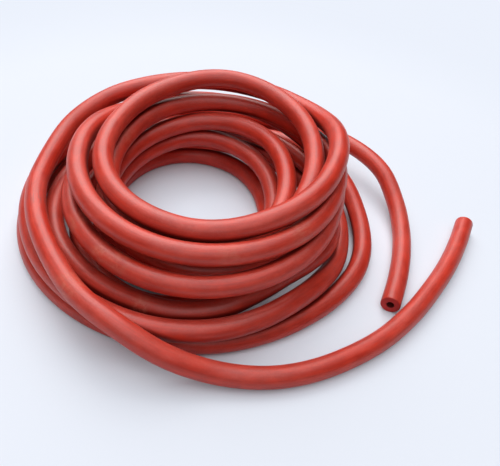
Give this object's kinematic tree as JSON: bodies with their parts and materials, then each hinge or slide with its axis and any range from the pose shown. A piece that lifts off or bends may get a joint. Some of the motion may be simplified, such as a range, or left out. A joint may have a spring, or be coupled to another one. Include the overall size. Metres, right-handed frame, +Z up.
{
  "type": "rubber vacuum tubing",
  "caption": "Thick-walled red rubber vacuum tubing lying in a loose coil of turns, with both cut ends free.",
  "frame": {"origin": "on the floor under the middle of the coil's bounding box", "axes": "+Z up from the floor, +X to the side where the loose cut end runs out, +Y away from the side where the lead crosses in front of the coil"},
  "size_m": [0.4005, 0.3202, 0.106],
  "materials": {
    "rubber": "matte, with a soft sheen and a faint pale bloom"
  },
  "bodies": {
    "root": {"tubing": "rubber"}
  },
  "joints": []
}
